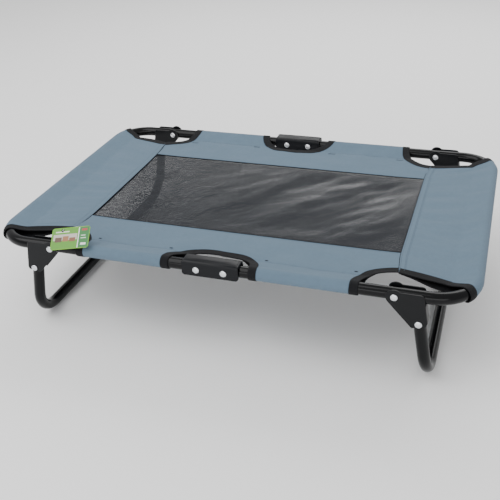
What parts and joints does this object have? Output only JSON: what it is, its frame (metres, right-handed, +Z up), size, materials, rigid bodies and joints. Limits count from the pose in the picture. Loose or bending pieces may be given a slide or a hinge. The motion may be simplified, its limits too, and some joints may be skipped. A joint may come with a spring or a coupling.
{
  "type": "folding raised dog bed",
  "caption": "Raised dog bed: grey fabric and open mesh slung on a folding steel tube frame with hand grips and U-shaped folding leg hoops.",
  "frame": {"origin": "on the floor under the middle of the bed", "axes": "+X along the bed to the right, +Y to the back, +Z up; the hand grips are on the front and back rails at x = 0"},
  "size_m": [0.8504, 0.5801, 0.2056],
  "materials": {
    "tube_gloss": "gloss black powder coat",
    "bracket_coat": "satin black powder coat",
    "zinc": "bright zinc plating",
    "grip_plastic": "satin dark grey moulding",
    "binding_tape": "black woven binding tape",
    "mesh_fabric": "open dark grey mesh",
    "panel_fabric": "grey-blue woven polyester",
    "tag_card": "printed green card",
    "loop_nylon": "white nylon"
  },
  "bodies": {
    "grips": {"grip_front": "grip_plastic", "grip_back": "grip_plastic", "grip_pivot_front_left": "zinc", "grip_pivot_front_right": "zinc", "grip_pivot_back_left": "zinc", "grip_pivot_back_right": "zinc"},
    "frame_left": {"frame_tube_left": "tube_gloss", "end_panel_left": "panel_fabric", "mesh_left": "mesh_fabric", "side_panel_front_left": "panel_fabric", "side_panel_back_left": "panel_fabric", "grip_binding_front_left": "binding_tape", "grip_binding_back_left": "binding_tape", "corner_binding_front_left": "binding_tape", "corner_binding_back_left": "binding_tape"},
    "leg_left": {"leg_hoop_left": "tube_gloss", "bracket_front_left": "bracket_coat", "bracket_back_left": "bracket_coat", "leg_pivot_front_left": "zinc", "leg_pivot_back_left": "zinc", "leg_rivet_front_left": "zinc", "leg_rivet_back_left": "zinc"},
    "frame_right": {"frame_tube_right": "tube_gloss", "end_panel_right": "panel_fabric", "mesh_right": "mesh_fabric", "side_panel_front_right": "panel_fabric", "side_panel_back_right": "panel_fabric", "grip_binding_front_right": "binding_tape", "grip_binding_back_right": "binding_tape", "corner_binding_front_right": "binding_tape", "corner_binding_back_right": "binding_tape"},
    "leg_right": {"leg_hoop_right": "tube_gloss", "bracket_front_right": "bracket_coat", "bracket_back_right": "bracket_coat", "leg_pivot_front_right": "zinc", "leg_pivot_back_right": "zinc", "leg_rivet_front_right": "zinc", "leg_rivet_back_right": "zinc"},
    "tag": {"hang_tag": "tag_card", "tag_loop": "loop_nylon"}
  },
  "joints": [
    {"name": "fold_left", "type": "hinge", "parent": "grips", "child": "frame_left", "pos_m": [-0.0237, 0, 0.166], "axis": [0, -1, 0], "range_deg": [0, 76]},
    {"name": "fold_right", "type": "hinge", "parent": "grips", "child": "frame_right", "pos_m": [0.0237, 0, 0.166], "axis": [0, 1, 0], "range_deg": [0, 76]},
    {"name": "leg_fold_left", "type": "hinge", "parent": "frame_left", "child": "leg_left", "pos_m": [-0.298, 0, 0.166], "axis": [0, -1, 0], "range_deg": [0, 99.3]},
    {"name": "leg_fold_right", "type": "hinge", "parent": "frame_right", "child": "leg_right", "pos_m": [0.298, 0, 0.166], "axis": [0, 1, 0], "range_deg": [0, 99.3]},
    {"name": "tag_swing", "type": "hinge", "parent": "frame_left", "child": "tag", "pos_m": [-0.286, -0.201, 0.1694], "axis": [-1, 0, 0], "range_deg": [0, 60]}
  ]
}
